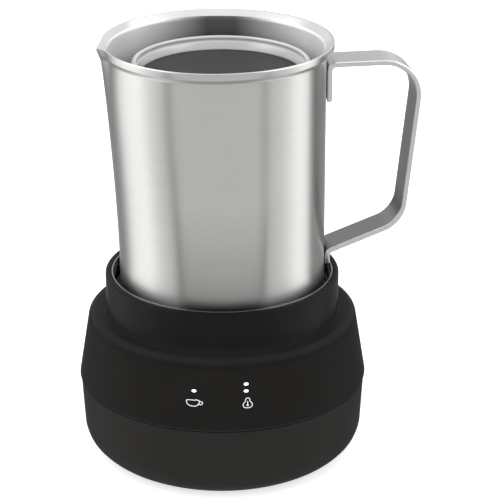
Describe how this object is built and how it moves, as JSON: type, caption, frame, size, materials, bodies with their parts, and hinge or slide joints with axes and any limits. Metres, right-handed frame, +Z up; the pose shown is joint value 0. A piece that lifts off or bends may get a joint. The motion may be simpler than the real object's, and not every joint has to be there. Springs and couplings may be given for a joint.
{
  "type": "milk frother",
  "caption": "Round induction milk frother: tapered black base with a recessed well, lift-out brushed steel jug with strap handle and spout, push-in lid and magnet-driven whisk.",
  "frame": {"origin": "centre of the underside of the round pad that the base stands on", "axes": "+Z up along the axis of base, jug and whisk; -Y towards the control icons on the front; jug handle near +X"},
  "size_m": [0.161, 0.1374, 0.2025],
  "materials": {
    "black_casing": "fine satin black moulded plastic",
    "inner_plastic": "matt black moulded plastic",
    "white_plastic": "natural white moulded plastic",
    "brushed_steel": "vertically brushed stainless steel",
    "bright_steel": "bright drawn stainless steel",
    "zinc_steel": "zinc-plated steel",
    "silicone": "dark food-grade silicone",
    "smoked_plastic": "smoke-tinted clear plastic",
    "copper": "enamelled copper winding",
    "ferrite": "sintered ferrite",
    "magnet": "nickel-plated magnet",
    "circuit_board": "green circuit board",
    "component_black": "black moulded component",
    "component_yellow": "yellow taped component",
    "component_blue": "blue sleeved component",
    "heat_sink_metal": "extruded aluminium",
    "sintered_bronze": "oil-filled sintered bronze",
    "red_insulation": "red insulated wire"
  },
  "bodies": {
    "base": {"upper_shell": "black_casing", "lower_shell": "black_casing", "well_liner": "black_casing", "bottom_cover": "inner_plastic", "base_pad": "silicone", "cord_gland": "component_black", "cover_screw_1": "zinc_steel", "cover_screw_2": "zinc_steel", "cover_screw_3": "zinc_steel", "cover_screw_4": "zinc_steel", "light_guide_1": "white_plastic", "light_guide_2": "white_plastic", "light_guide_3": "white_plastic", "chassis": "inner_plastic", "coil_carrier": "inner_plastic", "induction_coil": "copper", "ferrite_star": "ferrite", "thermal_fuse": "component_yellow", "coil_lead": "red_insulation", "sensor_spring": "zinc_steel", "motor_can": "zinc_steel", "motor_end_cap": "white_plastic", "motor_magnet_left": "ferrite", "motor_magnet_right": "ferrite", "motor_bush_upper": "sintered_bronze", "motor_bush_lower": "sintered_bronze", "motor_bracket": "zinc_steel", "motor_screw_1": "zinc_steel", "motor_screw_2": "zinc_steel", "motor_mount": "silicone", "power_board": "circuit_board", "filter_capacitor": "component_blue", "transformer": "component_yellow", "relay": "component_black", "heat_sink": "heat_sink_metal", "control_board": "circuit_board", "touch_spring_left": "bright_steel", "touch_spring_right": "bright_steel", "control_lead": "red_insulation", "motor_lead": "red_insulation", "mains_lead": "red_insulation"},
    "jug": {"jug_shell": "brushed_steel", "jug_handle": "brushed_steel", "whisk_post": "bright_steel"},
    "lid": {"lid_body": "inner_plastic", "lid_ring": "smoked_plastic", "lid_window": "smoked_plastic", "lid_seal": "silicone"},
    "whisk_bearing": {"whisk_bush": "white_plastic"},
    "whisk": {"whisk_hub": "inner_plastic", "whisk_cap": "inner_plastic", "whisk_coil": "bright_steel", "whisk_magnet_1": "magnet", "whisk_magnet_2": "magnet"},
    "rotor": {"motor_rotor": "zinc_steel", "motor_shaft": "bright_steel", "drive_hub": "white_plastic", "drive_magnet_1": "magnet", "drive_magnet_2": "magnet"},
    "sensor": {"sensor_button": "bright_steel"}
  },
  "joints": [
    {"name": "jug_lift", "type": "slide", "parent": "base", "child": "jug", "axis": [0, 0, 1], "range_m": [0, 0.12]},
    {"name": "lid_lift", "type": "slide", "parent": "jug", "child": "lid", "axis": [0, 0, 1], "range_m": [0, 0.06]},
    {"name": "whisk_lift", "type": "slide", "parent": "jug", "child": "whisk_bearing", "axis": [0, 0, 1], "range_m": [0, 0.085]},
    {"name": "whisk_spin", "type": "hinge", "parent": "whisk_bearing", "child": "whisk", "pos_m": [0, 0, 0.076], "axis": [0, 0, 1], "continuous": true},
    {"name": "rotor_spin", "type": "hinge", "parent": "base", "child": "rotor", "pos_m": [0, 0, 0.062], "axis": [0, 0, 1], "continuous": true},
    {"name": "sensor_press", "type": "slide", "parent": "base", "child": "sensor", "axis": [0, 0, 1], "range_m": [-0.0015, 0], "stiffness_N_per_m": 250, "springref_m": 0.003, "deforming": ["sensor_spring"]}
  ],
  "couplings": [
    {"joint": "whisk_spin", "follows": "rotor_spin", "ratio": 1}
  ]
}
